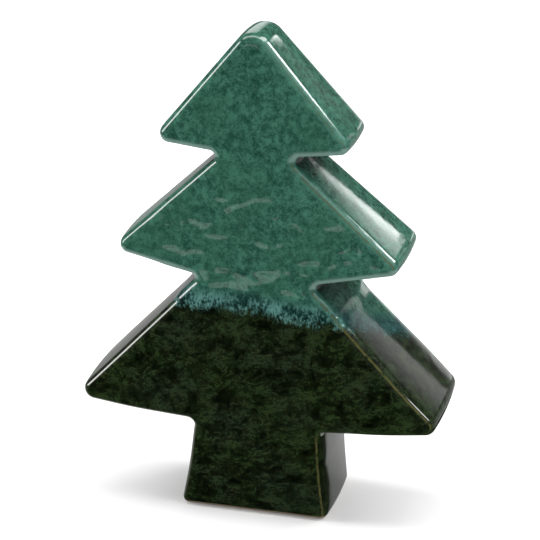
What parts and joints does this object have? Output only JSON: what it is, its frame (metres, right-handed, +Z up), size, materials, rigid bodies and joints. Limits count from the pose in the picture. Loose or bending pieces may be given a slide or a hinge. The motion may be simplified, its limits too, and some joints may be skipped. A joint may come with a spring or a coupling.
{
  "type": "ceramic christmas tree",
  "caption": "Free-standing hollow glazed ceramic tree of stacked tiers on a short flared trunk, a seasonal table and shelf decoration.",
  "frame": {"origin": "on the tree's axis at the level of the foot, on the surface that the tree stands on", "axes": "+Z up to the apex, -Y out of the front face, +X to the right as the front is seen"},
  "size_m": [0.182, 0.0572, 0.2494],
  "materials": {
    "stoneware": "bare fired stoneware, matte, buff brown",
    "slip": "fired slip, matte, a little darker than the body",
    "dark_green_glaze": "glossy reactive glaze, very dark green with olive clouds",
    "teal_glaze": "glossy reactive glaze, mottled teal, paler where it thins on edges"
  },
  "bodies": {
    "root": {"front_shell": "stoneware", "back_shell": "stoneware", "seam_slip": "slip", "base_slab": "stoneware", "base_slip": "slip", "lower_glaze": "dark_green_glaze", "upper_glaze": "teal_glaze"}
  },
  "joints": []
}
